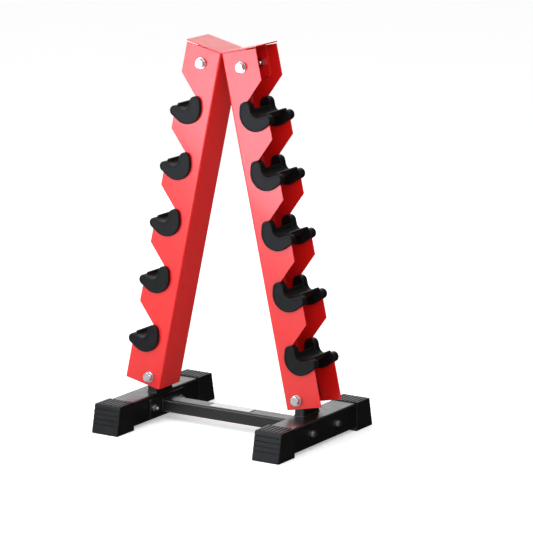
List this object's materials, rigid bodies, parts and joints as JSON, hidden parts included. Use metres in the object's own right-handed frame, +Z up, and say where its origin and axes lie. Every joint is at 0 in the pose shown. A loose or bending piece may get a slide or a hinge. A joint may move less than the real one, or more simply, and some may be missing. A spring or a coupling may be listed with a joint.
{
  "type": "dumbbell rack",
  "caption": "A-frame rack of leaning notched steel channels with moulded cradles that hold dumbbells by their handles, on a base with rubber end caps.",
  "frame": {"origin": "on the floor, midway between the two feet and midway front to back", "axes": "+X along the crossbar towards the right foot, -Y towards the front, +Z up"},
  "size_m": [0.5806, 0.4468, 0.9879],
  "materials": {
    "red_powder_coat": "gloss powder coat",
    "black_powder_coat": "satin powder coat",
    "cap_rubber": "moulded matt rubber with grip grooves",
    "cradle_plastic": "moulded satin plastic",
    "bright_zinc": "bright zinc plate",
    "badge_plate": "fine satin, unlettered"
  },
  "bodies": {
    "root": {"left_upright": "red_powder_coat", "left_saddle_1": "cradle_plastic", "left_saddle_2": "cradle_plastic", "left_saddle_3": "cradle_plastic", "left_saddle_4": "cradle_plastic", "left_saddle_5": "cradle_plastic", "left_top_front_bolt": "bright_zinc", "left_top_front_washer": "bright_zinc", "left_top_front_nut": "bright_zinc", "left_top_back_bolt": "bright_zinc", "left_top_back_washer": "bright_zinc", "left_top_back_nut": "bright_zinc", "left_post_bolt": "bright_zinc", "left_post_nut": "bright_zinc", "left_post_front_washer": "bright_zinc", "left_post_front_spacer": "black_powder_coat", "left_post_back_washer": "bright_zinc", "left_post_back_spacer": "black_powder_coat", "left_foot_tube": "black_powder_coat", "left_post": "black_powder_coat", "left_front_end_cap": "cap_rubber", "left_back_end_cap": "cap_rubber", "left_end_plate": "black_powder_coat", "left_foot_front_bolt": "bright_zinc", "left_foot_front_nut": "bright_zinc", "left_foot_back_bolt": "bright_zinc", "left_foot_back_nut": "bright_zinc", "right_upright": "red_powder_coat", "right_saddle_1": "cradle_plastic", "right_saddle_2": "cradle_plastic", "right_saddle_3": "cradle_plastic", "right_saddle_4": "cradle_plastic", "right_saddle_5": "cradle_plastic", "right_top_front_bolt": "bright_zinc", "right_top_front_washer": "bright_zinc", "right_top_front_nut": "bright_zinc", "right_top_back_bolt": "bright_zinc", "right_top_back_washer": "bright_zinc", "right_top_back_nut": "bright_zinc", "right_post_bolt": "bright_zinc", "right_post_nut": "bright_zinc", "right_post_front_washer": "bright_zinc", "right_post_front_spacer": "black_powder_coat", "right_post_back_washer": "bright_zinc", "right_post_back_spacer": "black_powder_coat", "right_foot_tube": "black_powder_coat", "right_post": "black_powder_coat", "right_front_end_cap": "cap_rubber", "right_back_end_cap": "cap_rubber", "right_end_plate": "black_powder_coat", "right_foot_front_bolt": "bright_zinc", "right_foot_front_nut": "bright_zinc", "right_foot_back_bolt": "bright_zinc", "right_foot_back_nut": "bright_zinc", "top_bracket": "red_powder_coat", "crossbar": "black_powder_coat", "badge_plate": "badge_plate"}
  },
  "joints": []
}
